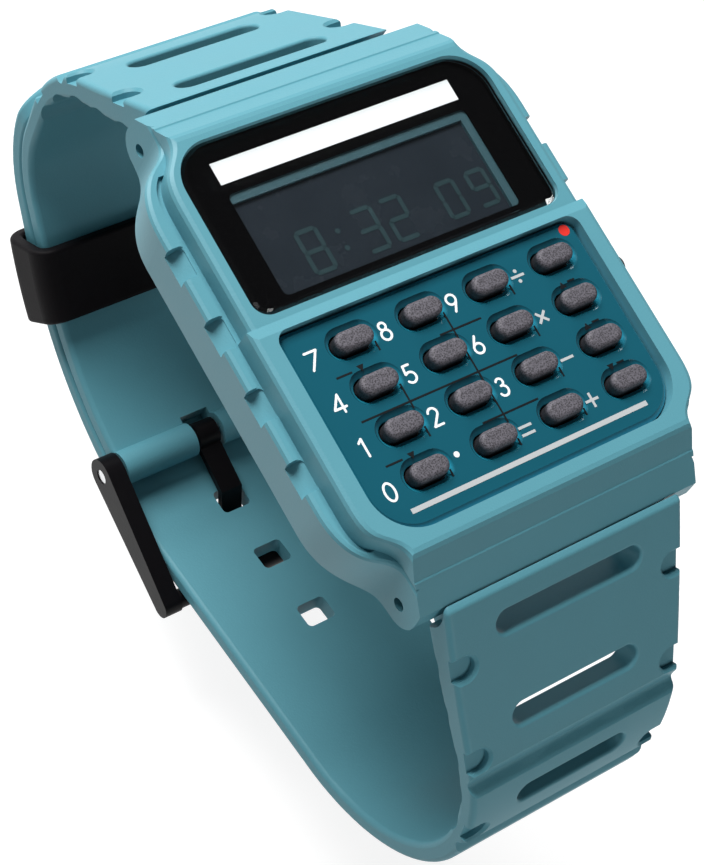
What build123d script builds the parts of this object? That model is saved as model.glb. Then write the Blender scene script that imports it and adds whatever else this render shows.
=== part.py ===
from build123d import *
import math
import os

# A calculator watch, buckled, dial up. Millimetres.
# +X points to 3 o'clock, +Y to 12 o'clock and +Z out of the dial.
# The origin is the centre of the back cover's outer face.

# Case body
case_width = 34.4
case_length = 43.2
case_bottom_z = 0.25
case_base_half = 16.5
ledge_z = 6.1
ledge_edge = 0.4
side_straight_y = 11.6
neck_half = 13.4
neck_y = 19.0
neck_bend_x = 15.3
neck_bend_y = 16.5
rim_rear_z = 7.8
rim_front_z = 8.15
rim_rear_half = 15.5
rim_front_half = 15.9
rim_straight_y = 12.4
rim_neck_y = 18.3
rim_bend_in = -0.55
rim_bend_y = 15.3
step_y = 1.0
step_run = 0.9
end_crown_y = 17.8
end_crease_y = 19.4
end_crease_z = 6.4
end_crease_step = 0.14
end_softness = 0.4
end_lip_z = 4.55
ear_bottom_z = 0.8
ear_radius = 2.0
ear_facets = 6
ear_rise_y = 17.2
rim_edge = 0.45
rim_edge_share = 0.3
rim_groove_width = 0.5
rim_groove_depth = 0.35
rim_groove_reach = 16.0

# Ledge notches
notch_count = 4
notch_first_y = 9.11
notch_pitch = 6.03
notch_length = 2.6
notch_inset = 1.3
notch_inner_depth = 0.45
notch_outer_depth = 1.35
notch_corner = 0.4

# Cuts run past the faces they open by this much
overrun = 0.6
touch_gap = 0.02
print_gap = 0.07

# Display window
glass_half = 14.3
glass_low_y = 2.55
glass_high_y = 16.85
glass_thick = 1.3
glass_seat_z = 6.45
mask_thick = 0.1
glass_high_corner = 3.3
glass_low_corner = 1.3
glass_bevel = 0.35
fit_gap = 0.1
window_length = 22.3
window_width = 8.9
window_y = 8.06
window_corner = 0.5
label_length = 22.35
label_width = 1.88
label_y = 14.3

# Keypad
panel_half = 14.1
panel_high_y = 0.9
panel_low_y = -16.35
panel_low_corner = 3.7
panel_high_corner = 1.0
panel_thick = 1.07
panel_bevel = 0.4
key_columns = 4
key_rows = 4
key_pitch_x = 6.37
key_pitch_y = 3.7
key_grid_x = 1.1
key_grid_y = -7.08
key_length = 3.3
key_width = 1.62
key_proud = 0.78
key_crown = 0.4
key_gap = 0.16
key_countersink = 0.45
key_flange_rim = 0.5
key_flange_thick = 0.43
key_travel = 0.5
key_names = [
    "key_7", "key_8", "key_9", "key_divide",
    "key_4", "key_5", "key_6", "key_multiply",
    "key_1", "key_2", "key_3", "key_minus",
    "key_0", "key_point", "key_equals", "key_plus",
]

# Cavity and module
ceiling_z = 6.15
cavity_half_x = 13.5
cavity_half_y = 15.7
cavity_corner = 4.5
module_wall = 0.45
module_bottom_z = 1.85
module_top_z = 6.1
board_z = 3.6
board_thick = 0.8
board_corner = 3.8
mat_half_x = 12.3
mat_high_y = 0.5
mat_low_y = -15.0
mat_thick = 0.5
mat_corner = 3.4
dome_radius = 1.3
dome_top_radius = 1.0
display_open_half = 12.0
display_open_low_y = 3.3
display_open_high_y = 13.2
keypad_open_half = 13.1
keypad_open_high_y = 0.3
keypad_open_low_y = -15.2
keypad_open_corner = 3.0
lcd_half = 12.2
lcd_low_y = 2.6
lcd_high_y = 13.5
lcd_bottom_z = 4.95
lcd_thick = 1.1
lcd_step = 0.45
holder_half = 12.8
holder_low_y = 1.2
holder_high_y = 14.9
holder_height = 1.3
holder_corner = 3.5
zebra_half = 11.0
zebra_width = 1.0
zebra_inset = 0.6
battery_radius = 10.0
battery_thick = 1.6
battery_x = -2.4
battery_y = -4.8
battery_top_gap = 0.15
battery_lip = 0.5
contact_length = 7.0
contact_width = 2.2
contact_thick = 0.1
clamp_low_x = -12.4
clamp_high_x = 11.9
clamp_width = 4.0
clamp_thick = 0.2
clamp_screw_x = 10.2
clamp_screw_radius = 0.4
clamp_head_radius = 0.75
clamp_head_thick = 0.3
clamp_screw_depth = 1.3
screw_slot_share = 0.3
chip_size = 6.0
chip_thick = 0.9
chip_x = -7.6
chip_y = 10.4
crystal_radius = 1.0
crystal_length = 6.0
crystal_x = 6.4
crystal_y = 13.2
coil_radius = 1.9
coil_thick = 1.5
coil_x = 9.9
coil_y = 9.0
capacitor_length = 2.0
capacitor_width = 1.25
capacitor_thick = 0.8
capacitor_x = -1.4
capacitor_y = 13.0
pocket_gap = 0.3
buzzer_radius = 8.0
buzzer_thick = 0.3
buzzer_x = 2.4
buzzer_y = 6.2
buzzer_spring_x = 2.4
buzzer_spring_y = 9.4
buzzer_spring_radius = 0.55
buzzer_spring_wire = 0.1
buzzer_spring_turns = 4

# Back cover
cover_half_x = 15.2
cover_half_y = 16.9
cover_corner = 3.5
cover_thick = 0.9
cover_edge = 0.2
cover_screw_x = 13.3
cover_screw_y = 15.1
cover_screw_radius = 0.42
cover_screw_gap = 0.03
cover_screw_top_z = 3.4
cover_head_radius = 0.8
cover_head_depth = 0.5
cover_head_sink = 0.05
gasket_inset = 0.25
gasket_width = 0.5
gasket_height = 0.5
gasket_gap = 0.03

# Side button
button_y = -3.3
button_z = 4.2
button_radius = 0.8
button_proud = 1.2
button_head = 1.4
button_seat_depth = 1.9
button_gap = 0.08
stem_radius = 0.45
stem_hole_radius = 0.5
stem_reach_in = 0.45
clip_reach_in = 0.25
clip_radius = 0.85
clip_thick = 0.22
seal_below_seat = 0.9
seal_radius = 0.2
seal_groove = 0.25
button_spring_wire = 0.07
button_spring_radius = 0.62
button_spring_turns = 3
relief_x = 12.35
relief_half_y = 1.3
relief_half_z = 1.3

# Spring bars
bar_y = 19.76
bar_z = 2.8
bar_radius = 0.9
bar_half = 9.9
bar_bore = 0.62
bar_lip_bore = 0.54
bar_lip = 0.8
tip_radius = 0.5
tip_collar_radius = 0.58
tip_collar = 1.35
tip_end_x = 11.35
tip_hole_radius = 0.55
bar_fit = 0.05
bar_spring_wire = 0.07
bar_spring_radius = 0.42
bar_spring_turns = 12

# Straps: arcs that the outer surface of the loop follows, as centre y, centre z and radius
front_bend = (-19.0, -17.5, 17.8)
wrist_bend = (7.0, -10.5, 31.8)
rear_bend = (23.9, -20.5, 13.0)
upper_bend = (19.0, -16.5, 16.0)
root_6_y = -22.0
root_6_z = 4.97
root_12_y = 22.1
root_12_z = 3.97
strap_thick = 1.8
strap_thick_places = [(0.0, 3.0), (9.0, 2.5), (13.0, 2.2), (20.0, 1.8)]
layer_gap = 0.15
strap_edge = 0.45
strap_half = 9.0
strap_half_places = [(4.7, 11.45), (-1.9, 11.0), (-9.5, 10.2), (-18.0, 9.6), (-25.6, 9.2), (-32.5, 9.0)]
tongue_half = 10.1
ear_gap = 0.15
knuckle_radius = 1.5
web_above = 1.0
web_below = 1.4
web_flat = 0.6
web_reach = 5.0
web_end_above = 1.0
web_end_rise = 0.3
root_swing_radius = 1.7
shoulder_radius = 2.68
free_end_rise = 3.7
free_end_corner = 5.0
slot_lengths = [14.1, 12.4, 10.9]
slot_width = 2.1
slot_edge = 0.25
slot_first = 3.4
segment_pitch = 8.6
groove_first = 8.1
groove_profile = [(-1.35, 0.0), (-0.5, -0.46), (-0.1, -0.68), (0.5, -0.46), (1.6, 0.0)]
dent_width = 2.0
dent_reach = 2.0
dent_depth = 0.7
dent_share = 0.27
dent_edge = 0.25
scallop_radius = 2.6
scallop_depth = 0.45
scallop_pitch = 4.3
scallop_first = 6.2
scallop_count = 5
hole_length = 2.9
hole_width = 2.4
hole_pitch = 7.1
hole_corner = 0.45
holes_before = 2
holes_after = 6
used_hole_y = 1.7
path_step = 1.2

# Buckle
buckle_bar_y = 8.3
buckle_bar_radius = 0.7
buckle_bar_fit = 0.06
buckle_bar_press = 0.01
buckle_knuckle_radius = 1.6
buckle_half = 11.0
buckle_arm = 1.75
buckle_eye_radius = 1.7
buckle_end_radius = 1.05
buckle_bar_end_gap = 0.1
crossbar_y = -4.3
crossbar_z = -41.3
crossbar_notch_z = -41.6
crossbar_radius = 0.9
tongue_width = 2.2
tongue_side_gap = 0.35
tongue_ring_radius = 1.3
tongue_thick = 0.65
tongue_bend_y = 2.75
tongue_bend_z = -39.35
tongue_knee_y = 1.15
tongue_knee_z = -41.99
tongue_tip_y = -5.3
tongue_tip_z = -41.99
tongue_start_y = 7.6

# Keeper loop
keeper_low_angle = 32.2
keeper_high_angle = 46.8
keeper_clear = 0.3
keeper_wall = 1.2
keeper_inner_corner = 0.8
keeper_outer_corner = 2.0
keeper_edge = 0.35

# Worked out from the values above
half_case = case_width / 2
half_length = case_length / 2
button_outer_x = half_case + button_proud
button_seat_x = half_case - button_seat_depth
seal_x = button_seat_x - seal_below_seat
stem_tip_x = cavity_half_x - stem_reach_in
clip_x = cavity_half_x - clip_reach_in
cut = 2 * overrun
far = case_length * 2
panel_seat_z = glass_seat_z
panel_top_z = panel_seat_z + panel_thick
key_top_z = panel_top_z + key_proud
glass_bottom_z = glass_seat_z + mask_thick
key_flange_top_z = panel_seat_z - print_gap
key_bottom_z = key_flange_top_z - key_flange_thick
board_top_z = board_z + board_thick
under_board_z = board_z - touch_gap
on_board_z = board_top_z + touch_gap
module_half_x = cavity_half_x - fit_gap
module_half_y = cavity_half_y - fit_gap
module_corner = cavity_corner - fit_gap
battery_z = board_z - battery_top_gap - battery_thick
clamp_z = battery_z - touch_gap - clamp_thick
inner_layer = strap_thick + layer_gap
strap_12_bend = (wrist_bend[0], wrist_bend[1], wrist_bend[2] - inner_layer)
strap_12_rear = (rear_bend[0], rear_bend[1], rear_bend[2] - inner_layer)
buckle_bar_drop = strap_12_bend[2] - buckle_knuckle_radius
buckle_bar_z = wrist_bend[1] - math.sqrt(buckle_bar_drop ** 2 - (buckle_bar_y - wrist_bend[0]) ** 2)
free_end = (rear_bend[0] + rear_bend[2], rear_bend[1] + free_end_rise, 0)


def box(x0, x1, y0, y1, z0, z1):
    """A box between two corners."""
    body = Box(x1 - x0, y1 - y0, z1 - z0)
    return body.moved(Location(((x0 + x1) / 2, (y0 + y1) / 2, (z0 + z1) / 2)))


def x_rod(radius, x0, x1, y, z):
    """A round rod along X."""
    rod = Cylinder(radius, x1 - x0, rotation=(0, 90, 0))
    return rod.moved(Location(((x0 + x1) / 2, y, z)))


def z_rod(radius, x, y, z0, z1):
    """A round rod along Z."""
    return Cylinder(radius, z1 - z0).moved(Location((x, y, (z0 + z1) / 2)))


def rounded_plate(half_x, low_y, high_y, low_corner, high_corner, z0, z1):
    """A plate with its own corner radius at the 6 and the 12 o'clock end."""
    plate = box(-half_x, half_x, low_y, high_y, z0, z1)
    middle = (low_y + high_y) / 2
    upright = [e for e in plate.edges().filter_by(Axis.Z) if e.center().Y > middle]
    plate = fillet(upright, high_corner)
    upright = [e for e in plate.edges().filter_by(Axis.Z) if abs(e.center().Y - low_y) < touch_gap]
    return fillet(upright, low_corner)


def oblong(length, width, x, y, z0, z1):
    """A bar with full round ends along X, standing on z0."""
    sketch = Plane.XY.offset(z0) * Pos(x, y) * SlotOverall(length, width)
    return extrude(sketch, z1 - z0)


def side_extrusion(points, half):
    """A polygon in Y and Z, extruded to both sides of the middle."""
    face = make_face(Polyline(*[(0, y, z) for y, z in points], close=True))
    return extrude(face, half, dir=(1, 0, 0), both=True)


def coil(radius, wire, turns, length):
    """A wound spring standing on z = 0."""
    path = Helix(pitch=(length - 2 * wire) / turns, height=length - 2 * wire, radius=radius)
    profile = Plane(origin=path @ 0, z_dir=path % 0) * Circle(wire)
    return sweep(profile, path, is_frenet=True).moved(Location((0, 0, wire)))


def key_places():
    """Centre of each key, row by row from the 12 o'clock side."""
    places = []
    for row in range(key_rows):
        for column in range(key_columns):
            x = key_grid_x + (column - (key_columns - 1) / 2) * key_pitch_x
            y = key_grid_y - (row - (key_rows - 1) / 2) * key_pitch_y
            places.append((x, y))
    return places


def plan_outline(z, half, straight_y, bend, neck, neck_at):
    """Plan of the case: straight sides that draw in by an S to the narrow ends."""
    end = half_length + cut
    edges = []
    for side_y in (1, -1):
        rise = [(half, side_y * straight_y, z), (bend[0], side_y * bend[1], z), (neck, side_y * neck_at, z)]
        along = (0, side_y, 0)
        edges.append(Spline(rise, tangents=[along, along]))
        edges.append(Line((neck, side_y * neck_at, z), (neck, side_y * end, z)))
    edges.append(Line((half, -straight_y, z), (half, straight_y, z)))
    edges += [edge.mirror(Plane.YZ) for edge in edges]
    edges.append(Line((neck, end, z), (-neck, end, z)))
    edges.append(Line((neck, -end, z), (-neck, -end, z)))
    return make_face(Wire.combine(edges)[0])


def rim_outline(z, half, inset):
    """Plan of the raised rim, drawn in by inset."""
    bend = (half + rim_bend_in - inset, rim_bend_y)
    return plan_outline(z, half - inset, rim_straight_y, bend, neck_half - inset, rim_neck_y)


def rim_block(half, top_z):
    """The raised rim, its top edge rounded off in two bevels."""
    small = rim_edge * rim_edge_share
    block = extrude(rim_outline(ledge_z, half, 0), top_z - rim_edge - ledge_z)
    steps = [(top_z - rim_edge, 0), (top_z - small, small), (top_z, rim_edge)]
    for (low, wide), (high, narrow) in zip(steps, steps[1:]):
        block += loft([rim_outline(low, half, wide), rim_outline(high, half, narrow)], ruled=True)
    return block


def case_base():
    """The case up to its side ledges, their outer edge rounded off in two bevels."""
    base_bend = (neck_bend_x - (half_case - case_base_half), neck_bend_y)
    base = plan_outline(case_bottom_z, case_base_half, side_straight_y, base_bend, neck_half, neck_y)
    small = ledge_edge * rim_edge_share
    outlines = [base]
    for z, inset in ((ledge_z - ledge_edge, 0), (ledge_z - small, small), (ledge_z, ledge_edge)):
        outlines.append(plan_outline(z, half_case - inset, side_straight_y, (neck_bend_x - inset, neck_bend_y),
                                     neck_half - inset, neck_y))
    body = loft(outlines[:2], ruled=True)
    for low, high in zip(outlines[1:], outlines[2:]):
        body += loft([low, high], ruled=True)
    return body


def case_side_points():
    """Side view of the case, from the back round over the dial."""
    front = [(-ear_rise_y, case_bottom_z), (-bar_y, ear_bottom_z)]
    turns = ear_facets
    for step in range(1, turns + 1):
        angle = math.radians(270 - 90 * step / turns)
        front.append((-bar_y + ear_radius * math.cos(angle), bar_z + ear_radius * math.sin(angle)))
    front.append((-half_length, end_lip_z))
    front.append((-end_crease_y - end_crease_step, end_crease_z))
    front.append((-end_crease_y, end_crease_z))
    rear = [(-y, z) for y, z in reversed(front)]
    front += softened(front[-1], (-end_crown_y, rim_front_z), (step_y, rim_front_z))
    crown = softened((step_y, rim_rear_z), (end_crown_y, rim_rear_z), rear[0])
    return front + [(step_y, rim_front_z), (step_y + step_run, rim_rear_z)] + crown + rear


def softened(before, corner, after):
    """Three points in place of a corner, so that its edge reads as round."""
    ends = []
    for other in (before, after):
        reach = math.hypot(other[0] - corner[0], other[1] - corner[1])
        share = end_softness / reach
        ends.append((corner[0] + (other[0] - corner[0]) * share, corner[1] + (other[1] - corner[1]) * share))
    middle = [(ends[0][i] + 2 * corner[i] + ends[1][i]) / 4 for i in range(2)]
    return [ends[0], tuple(middle), ends[1]]


def ledge_notch(side, middle):
    """A scoop in a ledge's edge whose floor slopes out to the side of the case."""
    inner = half_case - notch_inset
    slope = (notch_outer_depth - notch_inner_depth) / notch_inset
    low = ledge_z - notch_outer_depth - slope * cut
    floor = [(inner, ledge_z - notch_inner_depth), (half_case + cut, low), (half_case + cut, rim_rear_z),
             (inner, rim_rear_z)]
    face = make_face(Polyline(*[(side * x, middle, z) for x, z in floor], close=True))
    notch = extrude(face, notch_length / 2, dir=(0, 1, 0), both=True)
    corners = [e for e in notch.edges().filter_by(Axis.Z) if abs(e.center().X) < half_case]
    return fillet(corners, notch_corner)


def strap_recess(side):
    """The hollow between the ears at one end, for the strap's root."""
    half = tongue_half + ear_gap
    roof = end_lip_z - ear_gap
    bar = side * bar_y
    outside = sorted([bar, side * (half_length + cut)])
    inside = sorted([bar, bar - side * root_swing_radius])
    hollow = x_rod(root_swing_radius, -half, half, bar, bar_z)
    hollow += box(-half, half, outside[0], outside[1], -cut, roof)
    hollow += box(-half, half, inside[0], inside[1], -cut, bar_z)
    return hollow


def make_case_shell():
    """Resin case: side ledges, raised rim, ears, display and keypad openings."""
    body = case_base()
    floor = ledge_z - rim_groove_depth
    before_step = box(-far, far, -rim_groove_reach, step_y + step_run, 0, far)
    reach = box(-far, far, -rim_groove_reach, rim_groove_reach, 0, far)
    wide = -rim_groove_width
    body -= extrude(rim_outline(floor, rim_rear_half, wide), rim_groove_depth + cut) & reach
    body -= extrude(rim_outline(floor, rim_front_half, wide), rim_groove_depth + cut) & before_step
    body += extrude(rim_outline(floor, rim_rear_half, 0), rim_groove_depth) & reach
    body += extrude(rim_outline(floor, rim_front_half, 0), rim_groove_depth) & before_step
    body += rim_block(rim_rear_half, rim_rear_z)
    body += rim_block(rim_front_half, rim_front_z) & box(-far, far, -far, step_y + step_run, 0, far)
    body &= side_extrusion(case_side_points(), half_case + cut)
    body -= rounded_plate(cavity_half_x, -cavity_half_y, cavity_half_y, cavity_corner, cavity_corner,
                          -cut, ceiling_z)
    body -= rounded_plate(cover_half_x + fit_gap, -cover_half_y - fit_gap, cover_half_y + fit_gap,
                          cover_corner + fit_gap, cover_corner + fit_gap, -cut, cover_thick)
    body -= gasket_ring(gasket_gap, cover_thick - touch_gap, cover_thick + gasket_height + gasket_gap)
    body -= rounded_plate(glass_half + fit_gap, glass_low_y - fit_gap, glass_high_y + fit_gap,
                          glass_low_corner + fit_gap, glass_high_corner + fit_gap, glass_seat_z, far)
    body -= box(-display_open_half, display_open_half, display_open_low_y, display_open_high_y,
                ceiling_z - cut, glass_seat_z + cut)
    body -= rounded_plate(panel_half + fit_gap, panel_low_y - fit_gap, panel_high_y + fit_gap,
                          panel_low_corner + fit_gap, panel_high_corner + fit_gap, panel_seat_z, far)
    body -= rounded_plate(keypad_open_half, keypad_open_low_y, keypad_open_high_y,
                          keypad_open_corner, panel_high_corner, ceiling_z - cut, panel_seat_z + cut)
    for side in (-1, 1):
        body -= strap_recess(side)
        body -= x_rod(tip_hole_radius, -half_case, half_case, side * bar_y, bar_z)
        for index in range(notch_count):
            body -= ledge_notch(side, notch_first_y - index * notch_pitch)
        for end in (-1, 1):
            body -= z_rod(cover_screw_radius + cover_screw_gap, side * cover_screw_x, end * cover_screw_y,
                          -cut, cover_screw_top_z + fit_gap)
    body -= x_rod(button_radius + button_gap, button_seat_x, far, button_y, button_z)
    body -= x_rod(stem_hole_radius, cavity_half_x - cut, far, button_y, button_z)
    body -= x_rod(stem_radius + 2 * seal_radius + 2 * touch_gap, seal_x - seal_groove, seal_x + seal_groove,
                  button_y, button_z)
    return body


def gasket_ring(grow, z0, z1):
    """The closed ring that the cover's gasket follows, widened by grow."""
    inner = gasket_inset - grow
    outer = gasket_inset + gasket_width + grow
    ring = rounded_plate(cavity_half_x + outer, -cavity_half_y - outer, cavity_half_y + outer,
                         cavity_corner + outer, cavity_corner + outer, z0, z1)
    return ring - rounded_plate(cavity_half_x + inner, -cavity_half_y - inner, cavity_half_y + inner,
                                cavity_corner + inner, cavity_corner + inner, z0 - cut, z1 + cut)


def make_display():
    """Window glass, printed mask with its window, and the light strip above it."""
    top = glass_bottom_z + glass_thick
    glass = rounded_plate(glass_half, glass_low_y, glass_high_y, glass_low_corner, glass_high_corner,
                          glass_bottom_z, top)
    glass = chamfer(glass.faces().sort_by(Axis.Z)[-1].edges(), glass_bevel)
    print_top_z = glass_bottom_z - touch_gap
    mask = rounded_plate(glass_half, glass_low_y, glass_high_y, glass_low_corner, glass_high_corner,
                         glass_seat_z, print_top_z)
    mask -= rounded_plate(window_length / 2, window_y - window_width / 2, window_y + window_width / 2,
                          window_corner, window_corner, glass_seat_z - cut, glass_bottom_z + cut)
    half = label_length / 2 + touch_gap
    mask -= box(-half, half, label_y - label_width / 2 - touch_gap, label_y + label_width / 2 + touch_gap,
                glass_seat_z - cut, glass_bottom_z + cut)
    strip = box(-label_length / 2, label_length / 2, label_y - label_width / 2, label_y + label_width / 2,
                glass_seat_z, print_top_z)
    return glass, mask, strip


def make_keypad_panel():
    """Keypad plate with one countersunk oblong hole for each key."""
    panel = rounded_plate(panel_half, panel_low_y, panel_high_y, panel_low_corner, panel_high_corner,
                          panel_seat_z, panel_top_z)
    panel = chamfer(panel.faces().sort_by(Axis.Z)[-1].edges(), panel_bevel)
    hole = 2 * key_gap
    mouth = hole + 2 * key_countersink
    for x, y in key_places():
        sink = oblong(key_length + mouth, key_width + mouth, x, y, panel_top_z - key_countersink,
                      panel_top_z + cut)
        panel -= chamfer(sink.faces().sort_by(Axis.Z)[0].edges(), key_countersink)
        panel -= oblong(key_length + hole, key_width + hole, x, y, panel_seat_z - cut, panel_top_z)
    return panel


def make_key(x, y):
    """One rubber key: a wide foot under the panel and a crowned oblong body."""
    body = oblong(key_length, key_width, x, y, key_flange_top_z, key_top_z)
    body = fillet(body.faces().sort_by(Axis.Z)[-1].edges(), key_crown)
    rim = 2 * key_flange_rim
    return body + oblong(key_length + rim, key_width + rim, x, y, key_bottom_z, key_flange_top_z)


def make_key_mat():
    """Rubber mat on the board, with a cone under each key."""
    top = on_board_z + mat_thick
    mat = rounded_plate(mat_half_x, mat_low_y, mat_high_y, mat_corner, panel_high_corner, on_board_z, top)
    rise = key_bottom_z - touch_gap - top
    for x, y in key_places():
        mat += Cone(dome_radius, dome_top_radius, rise).moved(Location((x, y, top + rise / 2)))
    return mat


def make_lcd():
    """Liquid crystal cell, its holder and the two strips that join it to the board."""
    step_z = lcd_bottom_z + lcd_thick / 2
    cell = box(-lcd_half, lcd_half, lcd_low_y, lcd_high_y, lcd_bottom_z, step_z)
    cell += box(-lcd_half, lcd_half, lcd_low_y + lcd_step, lcd_high_y - lcd_step, step_z, lcd_bottom_z + lcd_thick)
    seat = lcd_bottom_z - touch_gap
    holder = rounded_plate(holder_half, holder_low_y, holder_high_y, panel_high_corner, holder_corner,
                           on_board_z, on_board_z + holder_height)
    holder -= box(-lcd_half - fit_gap, lcd_half + fit_gap, lcd_low_y - fit_gap, lcd_high_y + fit_gap, seat, far)
    strips = []
    for middle in (lcd_low_y + zebra_inset + zebra_width / 2, lcd_high_y - zebra_inset - zebra_width / 2):
        holder -= box(-zebra_half - fit_gap, zebra_half + fit_gap, middle - zebra_width / 2 - fit_gap,
                      middle + zebra_width / 2 + fit_gap, on_board_z - cut, seat + cut)
        strips.append(box(-zebra_half, zebra_half, middle - zebra_width / 2, middle + zebra_width / 2,
                          on_board_z, seat))
    return cell, holder, strips


def button_relief():
    """Room in the module for the inner end of the side button."""
    return box(relief_x, cavity_half_x + cut, button_y - relief_half_y, button_y + relief_half_y,
               button_z - relief_half_z, button_z + relief_half_z)


def make_module_frame():
    """Moulded tray for the battery and the board, with a wall round the board."""
    frame = rounded_plate(module_half_x, -module_half_y, module_half_y, module_corner, module_corner,
                          module_bottom_z, module_top_z)
    inner = module_wall
    frame -= rounded_plate(module_half_x - inner, inner - module_half_y, module_half_y - inner,
                           module_corner - inner, module_corner - inner, under_board_z, far)
    frame -= z_rod(battery_radius + pocket_gap, battery_x, battery_y, -cut, far)
    half = chip_size / 2 + pocket_gap
    frame -= box(chip_x - half, chip_x + half, chip_y - half, chip_y + half,
                 under_board_z - chip_thick - pocket_gap, far)
    reach = crystal_length / 2 + pocket_gap
    side = crystal_radius + pocket_gap
    frame -= box(crystal_x - reach, crystal_x + reach, crystal_y - side, crystal_y + side,
                 under_board_z - crystal_radius - side, far)
    frame -= z_rod(coil_radius + pocket_gap, coil_x, coil_y, -cut, far)
    reach = capacitor_length / 2 + pocket_gap
    side = capacitor_width / 2 + pocket_gap
    frame -= box(capacitor_x - reach, capacitor_x + reach, capacitor_y - side, capacitor_y + side,
                 under_board_z - capacitor_thick - pocket_gap, far)
    frame -= z_rod(buzzer_spring_radius + buzzer_spring_wire + fit_gap, buzzer_spring_x, buzzer_spring_y,
                   -cut, far)
    frame -= z_rod(clamp_screw_radius + touch_gap, clamp_screw_x, battery_y,
                   -cut, clamp_z + clamp_thick + clamp_screw_depth + fit_gap)
    key_floor = key_bottom_z - key_travel - print_gap
    frame -= box(-far, far, -far, 0, key_floor, far)
    return frame - button_relief()


def make_board():
    """Circuit board."""
    inner = module_wall + fit_gap
    board = rounded_plate(module_half_x - inner, inner - module_half_y, module_half_y - inner,
                          board_corner, board_corner, board_z, board_top_z)
    return board - button_relief()


def make_board_parts():
    """Chip, quartz crystal can, buzzer coil and capacitor under the board."""
    half = chip_size / 2
    chip = box(chip_x - half, chip_x + half, chip_y - half, chip_y + half,
               under_board_z - chip_thick, under_board_z)
    crystal = x_rod(crystal_radius, crystal_x - crystal_length / 2, crystal_x + crystal_length / 2,
                    crystal_y, under_board_z - crystal_radius)
    choke = z_rod(coil_radius, coil_x, coil_y, under_board_z - coil_thick, under_board_z)
    capacitor = box(capacitor_x - capacitor_length / 2, capacitor_x + capacitor_length / 2,
                    capacitor_y - capacitor_width / 2, capacitor_y + capacitor_width / 2,
                    under_board_z - capacitor_thick, under_board_z)
    return chip, crystal, choke, capacitor


def make_battery_parts():
    """Button cell, the clamp under it, its screw and the contact above it."""
    top = battery_z + battery_thick
    lip = battery_lip
    cell = z_rod(battery_radius, battery_x, battery_y, battery_z, top - lip / 2)
    cell += z_rod(battery_radius - lip, battery_x, battery_y, top - lip / 2, top)
    clamp = box(clamp_low_x, clamp_high_x, battery_y - clamp_width / 2, battery_y + clamp_width / 2,
                clamp_z, clamp_z + clamp_thick)
    clamp -= z_rod(clamp_screw_radius + touch_gap, clamp_screw_x, battery_y, clamp_z - cut, clamp_z + cut)
    head = clamp_z - touch_gap
    screw = z_rod(clamp_screw_radius, clamp_screw_x, battery_y, head, head + clamp_screw_depth)
    screw += z_rod(clamp_head_radius, clamp_screw_x, battery_y, head - clamp_head_thick, head)
    slot = clamp_head_thick * screw_slot_share
    screw -= box(clamp_screw_x - clamp_head_radius - cut, clamp_screw_x + clamp_head_radius + cut,
                 battery_y - slot, battery_y + slot, head - clamp_head_thick - cut,
                 head - clamp_head_thick + slot)
    contact = box(battery_x - contact_length / 2, battery_x + contact_length / 2,
                  battery_y - contact_width / 2, battery_y + contact_width / 2,
                  under_board_z - contact_thick, under_board_z)
    return cell, clamp, screw, contact


def make_buzzer():
    """Sounding disc on the back cover and the spring that joins it to the board."""
    low = cover_thick + touch_gap
    disc = z_rod(buzzer_radius, buzzer_x, buzzer_y, low, low + buzzer_thick)
    start = low + buzzer_thick + touch_gap
    spring = coil(buzzer_spring_radius, buzzer_spring_wire, buzzer_spring_turns, under_board_z - start)
    return disc, spring.moved(Location((buzzer_spring_x, buzzer_spring_y, start)))


def make_back():
    """Steel back cover, its gasket and the four screws."""
    cover = rounded_plate(cover_half_x, -cover_half_y, cover_half_y, cover_corner, cover_corner,
                          0, cover_thick - touch_gap)
    cover = chamfer(cover.faces().sort_by(Axis.Z)[0].edges(), cover_edge)
    screws = []
    head_top = cover_head_sink + cover_head_depth
    for x in (-cover_screw_x, cover_screw_x):
        for y in (-cover_screw_y, cover_screw_y):
            cover -= z_rod(cover_screw_radius + cover_screw_gap, x, y, -cut, cover_thick + cut)
            cover -= z_rod(cover_head_radius + cover_screw_gap, x, y, -cut, head_top + touch_gap)
            screw = z_rod(cover_screw_radius, x, y, head_top, cover_screw_top_z)
            screw += z_rod(cover_head_radius, x, y, cover_head_sink, head_top)
            slot = cover_head_depth * screw_slot_share
            for turn in (0, 90):
                bar = box(-cover_head_radius + slot, cover_head_radius - slot, -slot / 2, slot / 2,
                          -cut, cover_head_sink + 2 * slot)
                screw -= bar.rotate(Axis.Z, turn).moved(Location((x, y, 0)))
            screws.append(screw)
    low = cover_thick
    return cover, gasket_ring(0, low, low + gasket_height), Compound(children=screws)


def make_side_button():
    """Push button in the 3 o'clock side with its seal, clip and return spring."""
    head_x = button_outer_x - button_head
    head = x_rod(button_radius, head_x, button_outer_x, button_y, button_z)
    head = chamfer(head.faces().sort_by(Axis.X)[-1].edges(), cover_edge)
    button = head + x_rod(stem_radius, stem_tip_x, head_x, button_y, button_z)
    neck = x_rod(clip_radius, clip_x - touch_gap, clip_x + clip_thick + touch_gap, button_y, button_z)
    button -= neck - x_rod(stem_radius / 2, 0, far, button_y, button_z)
    clip = x_rod(clip_radius, clip_x, clip_x + clip_thick, button_y, button_z)
    clip -= x_rod(stem_radius / 2 + touch_gap, 0, far, button_y, button_z)
    clip -= box(0, far, button_y - stem_radius / 2 - touch_gap, button_y + stem_radius / 2 + touch_gap,
                button_z, far)
    seal = Torus(stem_radius + seal_radius + touch_gap, seal_radius, rotation=(0, 90, 0))
    seal = seal.moved(Location((seal_x, button_y, button_z)))
    start = button_seat_x + touch_gap
    spring = coil(button_spring_radius, button_spring_wire, button_spring_turns, head_x - touch_gap - start)
    spring = spring.rotate(Axis.Y, 90).moved(Location((start, button_y, button_z)))
    return button, clip, seal, spring


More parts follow.
